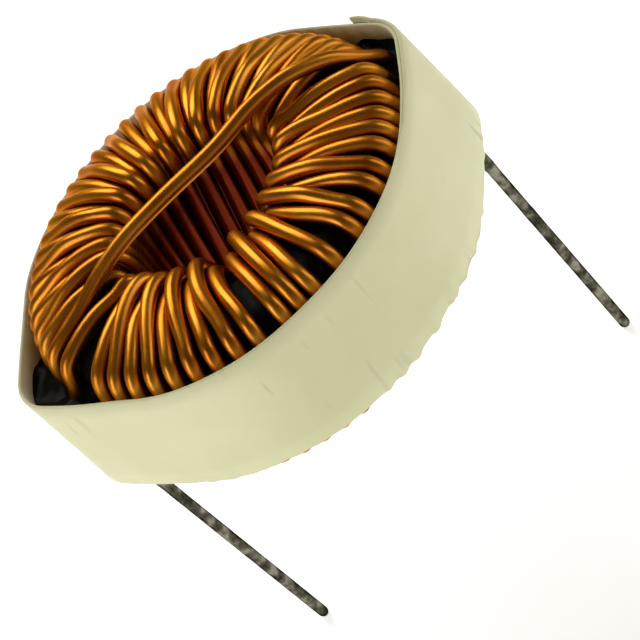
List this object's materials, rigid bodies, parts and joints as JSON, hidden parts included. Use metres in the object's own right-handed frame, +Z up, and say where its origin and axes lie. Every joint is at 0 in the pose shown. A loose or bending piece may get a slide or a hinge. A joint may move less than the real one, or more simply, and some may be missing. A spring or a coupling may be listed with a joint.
{
  "type": "toroidal inductor",
  "caption": "Radial-lead toroidal inductor: enamelled wire wound on a ring core, with a card band round it and two tinned leads for a circuit board.",
  "frame": {"origin": "on the board's surface, where the lowest turns touch it, midway between the two leads", "axes": "+X from the start lead to the end lead, +Z up away from the board, along the ring's axis"},
  "size_m": [0.033, 0.0294, 0.0345],
  "materials": {
    "core": "epoxy coat, glossy",
    "wire": "clear amber enamel over copper, glossy",
    "band": "smooth pale fibre card",
    "adhesive": "cured, glossy",
    "tin": "dull tin"
  },
  "bodies": {
    "root": {"core": "core", "winding": "wire", "band": "band", "adhesive_start": "adhesive", "adhesive_end": "adhesive", "tin_start": "tin", "tin_end": "tin"}
  },
  "joints": []
}
